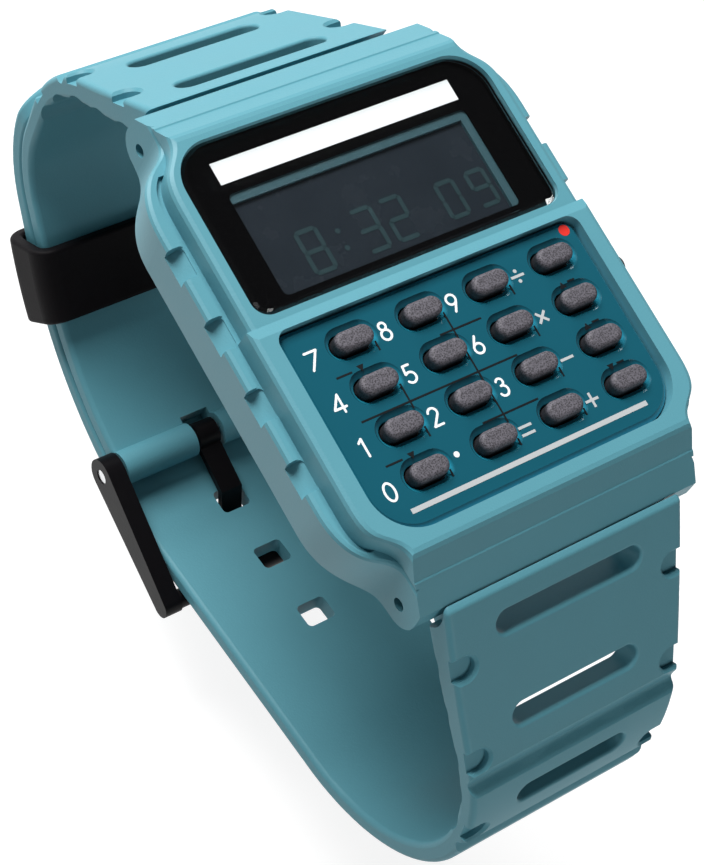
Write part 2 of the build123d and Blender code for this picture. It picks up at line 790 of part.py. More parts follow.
def make_spring_bar(side):
    """Tube, two sprung tips and the spring between them, at one end of the case."""
    y = side * bar_y
    tube = x_rod(bar_radius, -bar_half, bar_half, y, bar_z)
    tube -= x_rod(bar_lip_bore, -far, far, y, bar_z)
    tube -= x_rod(bar_bore, bar_lip - bar_half, bar_half - bar_lip, y, bar_z)
    collar_end = bar_half - bar_lip - touch_gap
    tip = x_rod(tip_radius, collar_end - tip_collar, tip_end_x, y, bar_z)
    tip += x_rod(tip_collar_radius, collar_end - tip_collar, collar_end, y, bar_z)
    reach = collar_end - tip_collar - touch_gap
    spring = coil(bar_spring_radius, bar_spring_wire, bar_spring_turns, 2 * reach)
    spring = spring.rotate(Axis.Y, 90).moved(Location((-reach, y, bar_z)))
    return tube, tip.mirror(Plane.YZ), tip, spring


def joint_angle(first, second):
    """Angle of the outward normal on the line that joins two bends."""
    dy = second[0] - first[0]
    dz = second[1] - first[1]
    return math.atan2(dz, dy) - math.acos((first[2] - second[2]) / math.hypot(dy, dz))


def outer_path(bends, start_angle=None):
    """Points along the bends and the lines between them, each with its normal and distance."""
    path = []
    last = len(bends) - 1
    for index, (y, z, radius) in enumerate(bends):
        first = start_angle if index == 0 else joint_angle(bends[index - 1], bends[index])
        final = joint_angle(bends[index], bends[index + 1]) if index < last else first
        first = final if first is None else first
        steps = max(1, round(radius * (final - first) / path_step))
        for step in range(steps + 1):
            angle = first + (final - first) * step / steps
            path.append((y + radius * math.cos(angle), z + radius * math.sin(angle), angle))
        if index < last:
            here = path[-1]
            after = bends[index + 1]
            there = (after[0] + after[2] * math.cos(final), after[1] + after[2] * math.sin(final))
            gap = math.hypot(there[0] - here[0], there[1] - here[1])
            steps = max(1, round(gap / path_step))
            for step in range(1, steps):
                share = step / steps
                path.append((here[0] + (there[0] - here[0]) * share,
                             here[1] + (there[1] - here[1]) * share, final))
    measured = []
    distance = 0
    for point in path:
        if measured:
            move = math.hypot(point[0] - measured[-1][0], point[1] - measured[-1][1])
            if move < touch_gap:
                continue
            distance += move
        measured.append((point[0], point[1], point[2], distance))
    return measured


def from_root(path):
    """The same path, measured from its other end."""
    total = path[-1][3]
    return [(y, z, angle, total - distance) for y, z, angle, distance in reversed(path)]


def between(places, value):
    """Straight interpolation in a short table."""
    if value <= places[0][0]:
        return places[0][1]
    for (low, first), (high, second) in zip(places, places[1:]):
        if value <= high:
            return first + (second - first) * (value - low) / (high - low)
    return places[-1][1]


def place_at(path, distance):
    """Point and normal at a distance from the root."""
    for before, after in zip(path, path[1:]):
        if before[3] <= distance <= after[3]:
            share = (distance - before[3]) / (after[3] - before[3])
            return tuple(before[i] + (after[i] - before[i]) * share for i in range(3))
    return path[-1][:3]


def inside(place, depth):
    """A point below the outer surface."""
    y, z, angle = place[:3]
    return (0, y - depth * math.cos(angle), z - depth * math.sin(angle))


def strap_plane(place, depth):
    """Work plane across the strap: x along X, z out of the strap."""
    angle = place[2]
    return Plane(origin=inside(place, depth), x_dir=(1, 0, 0), z_dir=(0, math.cos(angle), math.sin(angle)))


def width_block(side):
    """Half of space, as wide as the strap is at each height."""
    places = [(half, 0, z) for z, half in strap_half_places]
    low = -far
    right = Spline(places)
    left = right.mirror(Plane.YZ)
    edges = [right, left]
    edges.append(Line(places[0], (-places[0][0], 0, places[0][2])))
    edges.append(Line(places[-1], (places[-1][0], 0, low)))
    edges.append(Line((-places[-1][0], 0, places[-1][2]), (-places[-1][0], 0, low)))
    edges.append(Line((places[-1][0], 0, low), (-places[-1][0], 0, low)))
    face = make_face(Wire.combine(edges)[0])
    return extrude(face, far, dir=(0, side, 0))


def strap_body(path, side):
    """Strap of varying thickness and width, following its path."""
    outer = Spline([inside(place, 0) for place in path])
    inner = Spline([inside(place, between(strap_thick_places, place[3])) for place in path])
    ends = [Line(outer @ 0, inner @ 0), Line(outer @ 1, inner @ 1)]
    face = make_face(Wire.combine([outer, inner] + ends)[0])
    body = extrude(face, half_case, dir=(1, 0, 0), both=True)
    away = box(-strap_half, strap_half, *sorted([0, -side * far]), -far, free_end[1])
    if side < 0:
        corners = [e for e in away.edges().filter_by(Axis.Y) if e.center().Z > free_end[1] - touch_gap]
        away = fillet(corners, free_end_corner)
    return body & (width_block(side) + away)


def add_root(body, path, side):
    """Open the strap's end for the ears and join it to a knuckle on the spring bar."""
    y = side * bar_y
    body -= x_rod(shoulder_radius, -half_case, half_case, y, bar_z)
    angle = path[0][2]
    normal = (math.cos(angle), math.sin(angle))
    along = (side * -math.sin(angle), side * math.cos(angle))
    if along[1] > 0:
        along = (-along[0], -along[1])
    corners = [(0, -web_below), (web_flat, -web_below), (web_reach, web_end_rise),
               (web_reach, web_end_above), (0, web_above)]
    points = [(y + along[0] * run + normal[0] * rise, bar_z + along[1] * run + normal[1] * rise)
              for run, rise in corners]
    body += side_extrusion(points, tongue_half)
    body += x_rod(knuckle_radius, -tongue_half, tongue_half, y, bar_z)
    return body - x_rod(bar_radius + bar_fit, -half_case, half_case, y, bar_z)


def cross_groove(place):
    """A rounded groove across the strap, steeper on the side of the case."""
    plane = strap_plane(place, 0)
    ahead = plane.y_dir * (1 if place[0] < 0 else -1)
    points = [plane.origin + ahead * run + plane.z_dir * rise for run, rise in groove_profile]
    floor = Spline(points, tangents=[ahead, ahead])
    above = [point + plane.z_dir * cut for point in (points[-1], points[0])]
    face = make_face(Wire.combine([floor, Polyline(points[-1], *above, points[0])])[0])
    return extrude(face, half_case, dir=(1, 0, 0), both=True)


def edge_dent(place, side):
    """A thumb-shaped hollow in the strap's edge with a bevelled rim."""
    edge = between([(z, half) for z, half in reversed(strap_half_places)], place[1])
    floor = strap_plane(place, dent_depth) * Pos(side * edge, 0) * SlotOverall(2 * dent_reach, dent_width)
    rim = strap_plane(place, dent_edge) * Pos(side * edge, 0) * SlotOverall(2 * dent_reach, dent_width)
    return extrude(floor, cut) + extrude(rim, cut, taper=-45)


def add_segments(body, path):
    """Cross grooves, edge dents, through slots and inner ribs near the case."""
    for index, length in enumerate(slot_lengths):
        body -= cross_groove(place_at(path, groove_first + index * segment_pitch))
        place = place_at(path, slot_first + (index + dent_share) * segment_pitch)
        for side in (-1, 1):
            body -= edge_dent(place, side)
        place = place_at(path, slot_first + index * segment_pitch)
        slot = strap_plane(place, 0) * SlotOverall(length, slot_width)
        body -= extrude(slot, 2 * strap_thick_places[0][1], both=True)
        body = fillet([e for e in body.edges() if on_slot(e, place, length)], slot_edge)
    for index in range(scallop_count):
        place = place_at(path, scallop_first + index * scallop_pitch)
        thick = between(strap_thick_places, scallop_first + index * scallop_pitch)
        _, y, z = inside(place, thick + scallop_radius - scallop_depth)
        body -= x_rod(scallop_radius, -half_case, half_case, y, z)
    return body


def on_slot(edge, place, length):
    """Whether an edge belongs to the outer rim of the slot at a place."""
    middle = edge.center()
    reach = slot_width / 2 + slot_edge
    return math.hypot(middle.Y - place[0], middle.Z - place[1]) < reach and abs(middle.X) < length / 2 + slot_edge


def make_strap_6():
    """Long strap from the 6 o'clock end, with its adjustment holes."""
    path = outer_path([(root_6_y, root_6_z, 0), front_bend, wrist_bend, rear_bend, free_end])
    body = strap_body(path, -1)
    body = fillet(body.edges(), strap_edge)
    body = add_root(body, path, -1)
    body = add_segments(body, path)
    low = [place for place in path if place[1] < wrist_bend[1]]
    used = min(low, key=lambda place: abs(place[0] - used_hole_y) + max(0, place[1] - buckle_bar_z))
    start = used[3] + used_hole_y - used[0]
    for index in range(-holes_before, holes_after + 1):
        place = place_at(path, start + index * hole_pitch)
        hole = strap_plane(place, 0) * RectangleRounded(hole_length, hole_width, hole_corner)
        body -= extrude(hole, 2 * strap_thick, both=True)
    return body


def make_strap_12():
    """Short strap from the 12 o'clock end, ending in a knuckle for the buckle."""
    angle = math.atan2(buckle_bar_z - wrist_bend[1], buckle_bar_y - wrist_bend[0])
    path = from_root(outer_path([strap_12_bend, strap_12_rear, upper_bend, (root_12_y, root_12_z, 0)], angle))
    body = strap_body(path, 1)
    body = fillet(body.edges(), strap_edge)
    body = add_root(body, path, 1)
    body = add_segments(body, path)
    body += x_rod(buckle_knuckle_radius, -strap_half, strap_half, buckle_bar_y, buckle_bar_z)
    body -= x_rod(buckle_bar_radius + buckle_bar_fit, -half_case, half_case, buckle_bar_y, buckle_bar_z)
    gap = tongue_width / 2 + tongue_side_gap
    reach = buckle_knuckle_radius + overrun
    body -= box(-gap, gap, buckle_bar_y - reach, buckle_bar_y + reach, buckle_bar_z - reach, buckle_bar_z + reach)
    return body


def make_buckle():
    """Buckle frame, its bar and the tongue."""
    eye = (buckle_bar_y, buckle_bar_z, buckle_eye_radius)
    end = (crossbar_y, crossbar_z, buckle_end_radius)
    points = []
    for first, second in ((eye, end), (end, eye)):
        angle = joint_angle(first, second)
        for y, z, radius in (first, second):
            points.append((y + radius * math.cos(angle), z + radius * math.sin(angle)))
    inner = buckle_half - buckle_arm
    arm = side_extrusion(points, buckle_half)
    arm += x_rod(buckle_eye_radius, -buckle_half, buckle_half, eye[0], eye[1])
    arm += x_rod(buckle_end_radius, -buckle_half, buckle_half, end[0], end[1])
    frame = arm - box(-inner, inner, -far, far, -far, 0)
    frame += x_rod(crossbar_radius, -buckle_half, buckle_half, crossbar_y, crossbar_z)
    frame -= x_rod(buckle_bar_radius + buckle_bar_press, -far, far, eye[0], eye[1])
    notch = tongue_width / 2 + fit_gap
    frame -= box(-notch, notch, -far, 0, -far, crossbar_notch_z)
    bar = x_rod(buckle_bar_radius, buckle_bar_end_gap - buckle_half, buckle_half - buckle_bar_end_gap,
                eye[0], eye[1])
    line = [(tongue_start_y, buckle_bar_z), (tongue_bend_y, tongue_bend_z), (tongue_knee_y, tongue_knee_z),
            (tongue_tip_y, tongue_tip_z)]
    tongue = side_extrusion(thick_line(line, tongue_thick), tongue_width / 2)
    tongue += x_rod(tongue_ring_radius, -tongue_width / 2, tongue_width / 2, eye[0], eye[1])
    tongue -= x_rod(buckle_bar_radius + buckle_bar_fit, -far, far, eye[0], eye[1])
    return frame, bar, tongue


def thick_line(line, thick):
    """Both sides of a bent strip, mitred at its bends."""
    headings = []
    for (y0, z0), (y1, z1) in zip(line, line[1:]):
        length = math.hypot(y1 - y0, z1 - z0)
        headings.append(((y1 - y0) / length, (z1 - z0) / length))
    left = []
    right = []
    for index, (y, z) in enumerate(line):
        before = headings[max(0, index - 1)]
        after = headings[min(index, len(headings) - 1)]
        ny = -(before[1] + after[1])
        nz = before[0] + after[0]
        size = math.hypot(ny, nz)
        stretch = (ny * -after[1] + nz * after[0]) / size
        shift = thick / 2 / stretch / size
        left.append((y + ny * shift, z + nz * shift))
        right.append((y - ny * shift, z - nz * shift))
    return left + right[::-1]


def make_keeper():
    """Loop that holds the free end down, a piece of a ring round the wrist's centre."""
    low = strap_12_bend[2] - strap_thick - keeper_clear
    high = wrist_bend[2] + keeper_clear
    half = strap_half + keeper_clear
    middle = (low + high) / 2
    wall = keeper_wall
    ring = Plane.XY * Pos(0, -middle) * RectangleRounded(2 * (half + wall), high - low + 2 * wall,
                                                          keeper_outer_corner)
    ring -= Plane.XY * Pos(0, -middle) * RectangleRounded(2 * half, high - low, keeper_inner_corner)
    loop = revolve(ring, Axis.X, keeper_high_angle - keeper_low_angle)
    loop = fillet(loop.edges(), keeper_edge)
    loop = loop.rotate(Axis.X, 90 + keeper_low_angle)
    return loop.moved(Location((0, wrist_bend[0], wrist_bend[1])))


def make_parts():
    """All pieces by node name."""
    parts = {"case_shell": make_case_shell()}
    parts["display_glass"], parts["display_mask"], parts["label_strip"] = make_display()
    parts["keypad_panel"] = make_keypad_panel()
    for name, (x, y) in zip(key_names, key_places()):
        parts[name] = make_key(x, y)
    parts["key_mat"] = make_key_mat()
    parts["lcd_cell"], parts["lcd_holder"], strips = make_lcd()
    parts["contact_strip_low"], parts["contact_strip_high"] = strips
    parts["module_frame"] = make_module_frame()
    parts["circuit_board"] = make_board()
    parts["chip"], parts["quartz_crystal"], parts["buzzer_coil"], parts["capacitor"] = make_board_parts()
    parts["battery"], parts["battery_clamp"], parts["clamp_screw"], parts["battery_contact"] = make_battery_parts()
    parts["buzzer_disc"], parts["buzzer_spring"] = make_buzzer()
    parts["back_cover"], parts["cover_gasket"], parts["cover_screws"] = make_back()
    button = make_side_button()
    parts["side_button"], parts["button_clip"], parts["button_seal"], parts["button_spring"] = button
    for side, end in ((1, "12"), (-1, "6")):
        tube, left, right, spring = make_spring_bar(side)
        parts["spring_bar_" + end] = tube
        parts["bar_tip_" + end + "_left"] = left
        parts["bar_tip_" + end + "_right"] = right
        parts["bar_spring_" + end] = spring
    parts["strap_12"] = make_strap_12()
    parts["strap_6"] = make_strap_6()
    parts["buckle_frame"], parts["buckle_bar"], parts["buckle_tongue"] = make_buckle()
    parts["keeper"] = make_keeper()
    return parts


os.makedirs("parts", exist_ok=True)
for node, shape in make_parts().items():
    export_step(shape, "parts/" + node + ".step")
    size = shape.bounding_box().size
    print(node, round(shape.volume, 3), round(size.X, 2), round(size.Y, 2), round(size.Z, 2))
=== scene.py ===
import bpy
import numpy as np
from bpy.props import FloatProperty, FloatVectorProperty, PointerProperty
from mathutils import Matrix, Vector


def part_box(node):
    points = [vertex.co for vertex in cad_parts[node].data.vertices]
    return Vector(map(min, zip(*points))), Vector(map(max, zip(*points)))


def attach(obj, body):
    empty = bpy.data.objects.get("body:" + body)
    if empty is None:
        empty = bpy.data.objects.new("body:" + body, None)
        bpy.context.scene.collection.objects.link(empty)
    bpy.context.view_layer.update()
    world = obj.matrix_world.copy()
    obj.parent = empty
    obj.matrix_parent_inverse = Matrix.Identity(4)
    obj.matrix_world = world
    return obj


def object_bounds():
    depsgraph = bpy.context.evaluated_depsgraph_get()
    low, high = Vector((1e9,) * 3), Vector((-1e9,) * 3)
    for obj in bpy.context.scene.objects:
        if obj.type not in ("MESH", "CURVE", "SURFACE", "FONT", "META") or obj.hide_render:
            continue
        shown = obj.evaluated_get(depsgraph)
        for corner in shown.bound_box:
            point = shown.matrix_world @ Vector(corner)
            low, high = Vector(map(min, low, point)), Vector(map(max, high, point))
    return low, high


bl_info = {
    "name": "Calculator watch",
    "version": (1, 0, 0),
    "blender": (4, 5, 0),
    "location": "View3D > Sidebar > Watch",
    "description": "Finishes, prints and stage for a resin calculator watch",
    "category": "Object",
}

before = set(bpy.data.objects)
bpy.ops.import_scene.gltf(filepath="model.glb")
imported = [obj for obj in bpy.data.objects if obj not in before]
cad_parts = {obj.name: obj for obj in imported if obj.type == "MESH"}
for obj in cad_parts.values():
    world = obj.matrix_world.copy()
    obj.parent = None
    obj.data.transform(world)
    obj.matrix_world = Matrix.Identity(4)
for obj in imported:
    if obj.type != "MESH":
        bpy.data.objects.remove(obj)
CAD_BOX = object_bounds()
MM = 0.001

PANEL_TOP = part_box("keypad_panel")[1].z
KEY_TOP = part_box("key_7")[1].z
LCD_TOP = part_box("lcd_cell")[1].z
KEY_NAMES = [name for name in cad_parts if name.startswith("key_") and name != "key_mat"]

# The CAD nodes that wear each material
WORN = {
    "resin_case": ["case_shell"],
    "resin_strap": ["strap_6", "strap_12"],
    "keypad_plate": ["keypad_panel"],
    "key_rubber": KEY_NAMES,
    "black_resin": ["buckle_frame", "buckle_tongue"],
    "black_rubber": ["keeper", "cover_gasket", "button_seal"],
    "mask_print": ["display_mask"],
    "white_strip": ["label_strip"],
    "display_cell": ["lcd_cell"],
    "brushed_steel": ["back_cover", "side_button", "battery", "battery_clamp"],
    "spring_steel": [
        "cover_screws", "clamp_screw", "quartz_crystal", "button_clip", "button_spring", "buckle_bar",
        "spring_bar_12", "bar_tip_12_left", "bar_tip_12_right", "bar_spring_12",
        "spring_bar_6", "bar_tip_6_left", "bar_tip_6_right", "bar_spring_6",
    ],
    "contact_brass": ["buzzer_disc", "buzzer_spring", "battery_contact"],
    "coil_copper": ["buzzer_coil"],
    "black_moulding": ["chip", "module_frame", "lcd_holder"],
    "board_resist": ["circuit_board"],
    "grey_rubber": ["key_mat"],
    "contact_rubber": ["contact_strip_low", "contact_strip_high"],
    "fired_ceramic": ["capacitor"],
    "window_clear": ["display_glass"],
}

# Linear colours that no property holds
STEEL = (0.62, 0.63, 0.64)
BRIGHT_STEEL = (0.7, 0.71, 0.72)
BRASS = (0.73, 0.55, 0.25)
COPPER = (0.6, 0.24, 0.1)
MASK_BLACK = (0.0006, 0.0006, 0.0008)
LINE_BLACK = (0.004, 0.006, 0.008)

# Depths under the top of the keys and of the plate between which their painted shade and painted light
# change: painted shade darkens the key sides, painted light brightens the plate's bevels and hole mouths
KEY_PAINTED_SHADE = (0.6 * MM, 0.15 * MM)
PANEL_PAINTED_LIGHT = (0.3 * MM, 0.02 * MM)
PITS_PER_METRE = 7400.0

# Evenly spaced shares of an arc
ARC = np.linspace(0, 1, 25)
# Angles of the points on a stroke's round end, within its quarter turn
CAP = np.radians([22, 45, 66, 84])
# Each further line of a figure lies this much higher, so that no two tops share a plane
STROKE_STEP = 0.004 * MM

# Prints on the keypad plate, in millimetres: places from a key's middle
FIGURE_SHIFT = (-3.58, -0.29)
POINT_SHIFT = (-3.58, 0.21)
SIGN_SHIFT = (-3.65, -0.29)
# Sizes of the point and signs, then the long bar and the round mark
POINT_RADIUS = 0.24
SIGN_ARM = 0.62
DIVIDE_DOT_SHIFT = 0.44
DIVIDE_DOT_RADIUS = 0.16
EQUALS_SHIFT = 0.31
BAR_LINE = ((-11.3, -14.86), (11.2, -14.86))
BAR_HALF = 0.2
MARK_PLACE = (12.96, 0.14)
MARK_RADIUS = 0.48
# Thin lines down: x, then both ends in y
DOWN_LINES = (
    (-0.43, -2.2, -11.85), (-6.8, -2.2, -3.0), (-6.8, -5.9, -8.0), (-6.8, -9.55, -10.4),
    (5.95, -2.2, -3.05), (5.95, -5.9, -6.8), (5.95, -9.6, -10.4), (5.95, -13.2, -13.8),
    (-6.8, -13.2, -13.8), (-0.43, -13.2, -13.8),
)
# Thin lines across: y, then both ends in x
ACROSS_LINES = (
    (-3.72, -1.7, 2.2), (-7.42, -11.2, 3.3), (-11.12, -2.4, 2.9), (-3.72, -11.2, -9.8),
    (-11.12, -11.3, -9.8), (-3.72, 10.69, 11.39), (-7.42, 10.69, 11.39), (-11.12, 10.69, 11.39),
)
# Small triangles: x, y, then 1 to point up or -1 to point down
TRIANGLES = (
    (-8.95, -3.6, -1), (10.1, -3.93, 1), (10.1, -7.63, 1), (10.1, -11.15, -1), (-8.95, -11.05, -1),
)
TRIANGLE_RADIUS = 0.36

# Display, in millimetres: figure, middle in x and y, height and width between middle lines
DISPLAY_FIGURES = (
    ("8", -6.7, 6.2, 3.5, 1.75), ("3", -1.65, 6.2, 3.5, 1.75), ("2", 1.1, 6.2, 3.5, 1.75),
    ("0", 6.15, 6.1, 3.0, 1.6), ("9", 9.1, 6.1, 3.0, 1.6),
)
LIT_SEGMENTS = {"0": "abcdef", "2": "abged", "3": "abgcd", "8": "abcdefg", "9": "abcdfg"}
SEGMENT_GAP = 0.2
SEGMENT_STROKE = 0.36
SEGMENT_HEIGHT = 0.02
DISPLAY_DOTS = ((-4.2, 5.5), (-4.2, 7.0))
DISPLAY_DOT_RADIUS = 0.22
# Light edge of the display: the corners of its far band and of its right band
EDGE_BANDS = (
    ((-11.2, 11.75), (11.2, 11.75), (11.2, 12.6), (-11.2, 12.6)),
    ((10.45, 3.5), (11.2, 3.5), (11.2, 11.75), (10.45, 11.75)),
)
EDGE_HEIGHT = 0.3

# The floor lies lower than the clasp by the drop, so that the opened strap stays above it
FLOOR_DROP = 10 * MM
FLOOR_Z = CAD_BOX[0][2] - FLOOR_DROP
FLOOR_TINT = (0.28, 0.28, 0.28, 1)
FLOOR_GLOW = 0.85
WORLD_TINT = (0.94, 0.97, 1.0, 1)
WORLD_STRENGTH = 0.05
# Lamps: name, place, the point aimed at, width in metres, power in watts and colour
LAMPS = (
    ("key_lamp", (-0.14, 0.77, 0.75), (0, 0, 0), 0.6, 21.5, (1, 0.99, 0.98)),
    ("side_lamp", (-0.9, -0.1, 0.3), (0, 0, -0.01), 0.6, 1.1, (0.96, 0.98, 1)),
    ("front_lamp", (0.1, -0.9, 0.24), (0, 0, -0.01), 0.45, 2.7, (1, 1, 1)),
)

# View of the photograph: camera place, turn, lens, sensor width and clipping distances
CAMERA_PLACE = (-92.8392 * MM, -40.6352 * MM, 150.6895 * MM)
CAMERA_TURN = (
    (0.803219, 0.351636, -0.480823),
    (-0.489326, 0.849804, -0.195943),
    (0.339705, 0.392665, 0.854643),
)
CAMERA_LENS = 97.526
SENSOR = 36.0
CAMERA_CLIP = (MM, 20.0)


def srgb(red, green, blue):
    """A colour given in display values from 0 to 255, as linear light by the sRGB curve."""
    out = []
    for value in (red, green, blue):
        share = value / 255
        out.append(share / 12.92 if share <= 0.04045 else ((share + 0.055) / 1.055) ** 2.4)
    return tuple(out)


def mm(values):
    """Places or lengths given in millimetres, as an array in metres."""
    return np.array(values) * MM


def colour(name, text, value):
    """A colour property with its default."""
    return FloatVectorProperty(name=name, description=text, default=value, size=3, min=0, max=1,
                               subtype="COLOR")


def length(name, text, value, low, high):
    """A length property in metres with its default and range."""
    return FloatProperty(name=name, description=text, default=value, min=low, max=high, unit="LENGTH",
                         subtype="DISTANCE", precision=5)


class WatchFinish(bpy.types.PropertyGroup):
    """Colours of the watch."""

    resin: colour("Resin", "Colour of the case and straps", srgb(89, 150, 164))
    panel: colour("Keypad plate", "Colour of the tinted keypad plate", srgb(20, 87, 104))
    rubber: colour("Keys", "Colour of the rubber keys", srgb(86, 84, 91))
    black: colour("Black parts", "Colour of the buckle and keeper", srgb(11, 9, 12))
    print_white: colour("Figures", "Colour of the figures beside the keys", srgb(240, 244, 246))
    print_grey: colour("Signs", "Colour of the signs and the bar", srgb(186, 190, 192))
    print_red: colour("Red mark", "Colour of the round mark", srgb(222, 52, 44))
    display: colour("Display", "Colour of the unlit display", srgb(32, 39, 46))
    segments: colour("Segments", "Colour of the display figures", srgb(38, 58, 62))
    display_edge: colour("Display edge", "Colour of the display's light edge", srgb(50, 80, 88))


class WatchSizes(bpy.types.PropertyGroup):
    """Sizes of the prints and the stage."""

    figure_height: length("Figure height", "Height of the figures' middle lines", 1.42 * MM, MM, 3 * MM)
    figure_stroke: length("Figure stroke", "Stroke width of the figures", 0.19 * MM, 0.1 * MM, 0.6 * MM)
    sign_stroke: length("Sign stroke", "Stroke width of the signs", 0.22 * MM, 0.1 * MM, 0.6 * MM)
    line_width: length("Line width", "Width of the plate's thin lines", 0.15 * MM, 0.05 * MM, 0.5 * MM)
    print_height: length("Print height", "Height of a print on its plate", 0.015 * MM, 0.005 * MM, 0.1 * MM)
    floor_half: length("Floor", "Half the width of the floor", 3.0, 0.2, 5.0)


def settings():
    """The finish and size values of this scene."""
    return bpy.context.scene.watch_finish, bpy.context.scene.watch_sizes


# Shader helpers


def new_material(name):
    """A new material with its node tree and its main shader."""
    material = bpy.data.materials.new(name)
    material.use_nodes = True
    tree = material.node_tree
    return material, tree, tree.nodes["Principled BSDF"]


def node(tree, kind, place, **values):
    """One shader node with its values set."""
    made = tree.nodes.new(kind)
    made.location = place
    for key, value in values.items():
        if key in made.inputs:
            made.inputs[key].default_value = value
        else:
            setattr(made, key, value)
    return made


def map_range(tree, place, low, high, low_value, high_value):
    """A node that carries values from low to high evenly over to low_value to high_value, flat outside."""
    made = node(tree, "ShaderNodeMapRange", place)
    made.inputs["From Min"].default_value = low
    made.inputs["From Max"].default_value = high
    made.inputs["To Min"].default_value = low_value
    made.inputs["To Max"].default_value = high_value
    return made


def by_height(tree, low, high, low_value, high_value):
    """A socket whose value goes evenly with height from low_value at low to high_value at high."""
    place = node(tree, "ShaderNodeTexCoord", (-1300, -250))
    split = node(tree, "ShaderNodeSeparateXYZ", (-1100, -250))
    ramp = map_range(tree, (-850, -250), low, high, low_value, high_value)
    tree.links.new(place.outputs["Object"], split.inputs["Vector"])
    tree.links.new(split.outputs["Z"], ramp.inputs["Value"])
    return ramp.outputs["Result"]


def scale_colour(material, factor):
    """Multiply the colour that goes from the shared group to the shader by a socket's value."""
    tree = material.node_tree
    group = next(item for item in tree.nodes if item.type == "GROUP")
    shade = node(tree, "ShaderNodeVectorMath", (-300, 200), operation="SCALE")
    tree.links.new(group.outputs["Colour"], shade.inputs[0])
    tree.links.new(factor, shade.inputs["Scale"])
    tree.links.new(shade.outputs[0], tree.nodes["Principled BSDF"].inputs["Base Color"])


def grain_group():
    """Fine moulded grain: colour times one plus a cloudy value, roughness plus that value, and a height."""
    if "moulded_grain" in bpy.data.node_groups:
        return bpy.data.node_groups["moulded_grain"]
    tree = bpy.data.node_groups.new("moulded_grain", "ShaderNodeTree")
    for name, default in (("Grain per metre", 9000.0), ("Cloud per metre", 220.0), ("Roughness", 0.45),
                          ("Spread", 0.08)):
        socket = tree.interface.new_socket(name, in_out="INPUT", socket_type="NodeSocketFloat")
        socket.default_value = default
    socket = tree.interface.new_socket("Colour", in_out="INPUT", socket_type="NodeSocketColor")
    socket.default_value = (0.5, 0.5, 0.5, 1)
    tree.interface.new_socket("Colour", in_out="OUTPUT", socket_type="NodeSocketColor")
    tree.interface.new_socket("Roughness", in_out="OUTPUT", socket_type="NodeSocketFloat")
    tree.interface.new_socket("Height", in_out="OUTPUT", socket_type="NodeSocketFloat")
    inward = node(tree, "NodeGroupInput", (-900, 0))
    outward = node(tree, "NodeGroupOutput", (700, 0))
    place = node(tree, "ShaderNodeTexCoord", (-900, 300))
    fine = node(tree, "ShaderNodeTexNoise", (-600, 300), Detail=3.0, Roughness=0.6)
    cloud = node(tree, "ShaderNodeTexNoise", (-600, 0), Detail=4.0, Roughness=0.55)
    link = tree.links.new
    link(place.outputs["Object"], fine.inputs["Vector"])
    link(place.outputs["Object"], cloud.inputs["Vector"])
    link(inward.outputs["Grain per metre"], fine.inputs["Scale"])
    link(inward.outputs["Cloud per metre"], cloud.inputs["Scale"])
    centred = node(tree, "ShaderNodeMath", (-350, 0), operation="SUBTRACT")
    centred.inputs[1].default_value = 0.5
    link(cloud.outputs["Fac"], centred.inputs[0])
    scaled = node(tree, "ShaderNodeMath", (-150, 0), operation="MULTIPLY")
    link(centred.outputs[0], scaled.inputs[0])
    link(inward.outputs["Spread"], scaled.inputs[1])
    bright = node(tree, "ShaderNodeMath", (50, 0), operation="ADD")
    bright.inputs[1].default_value = 1.0
    link(scaled.outputs[0], bright.inputs[0])
    shade = node(tree, "ShaderNodeVectorMath", (250, 0), operation="SCALE")
    link(inward.outputs["Colour"], shade.inputs[0])
    link(bright.outputs[0], shade.inputs["Scale"])
    rough = node(tree, "ShaderNodeMath", (250, -200), operation="ADD")
    link(inward.outputs["Roughness"], rough.inputs[0])
    link(scaled.outputs[0], rough.inputs[1])
    link(shade.outputs[0], outward.inputs["Colour"])
    link(rough.outputs[0], outward.inputs["Roughness"])
    link(fine.outputs["Fac"], outward.inputs["Height"])
    return tree


def moulded(name, tint, roughness, spread, grain, depth, specular=0.5, coat=0.0, metallic=0.0):
    """A moulded, printed or plated surface with grain, from the shared group."""
    material, tree, shader = new_material(name)
    shader.inputs["Specular IOR Level"].default_value = specular
    shader.inputs["Metallic"].default_value = metallic
    shader.inputs["Coat Weight"].default_value = coat
    shader.inputs["Coat Roughness"].default_value = 0.08
    group = node(tree, "ShaderNodeGroup", (-600, 0))
    group.node_tree = grain_group()
    group.inputs["Colour"].default_value = (*tint, 1)
    group.inputs["Roughness"].default_value = roughness
    group.inputs["Spread"].default_value = spread
    group.inputs["Grain per metre"].default_value = grain
    bump = node(tree, "ShaderNodeBump", (-250, -250), Strength=1.0, Distance=depth)
    link = tree.links.new
    link(group.outputs["Colour"], shader.inputs["Base Color"])
    link(group.outputs["Roughness"], shader.inputs["Roughness"])
    link(group.outputs["Height"], bump.inputs["Height"])
    link(bump.outputs["Normal"], shader.inputs["Normal"])
    return material


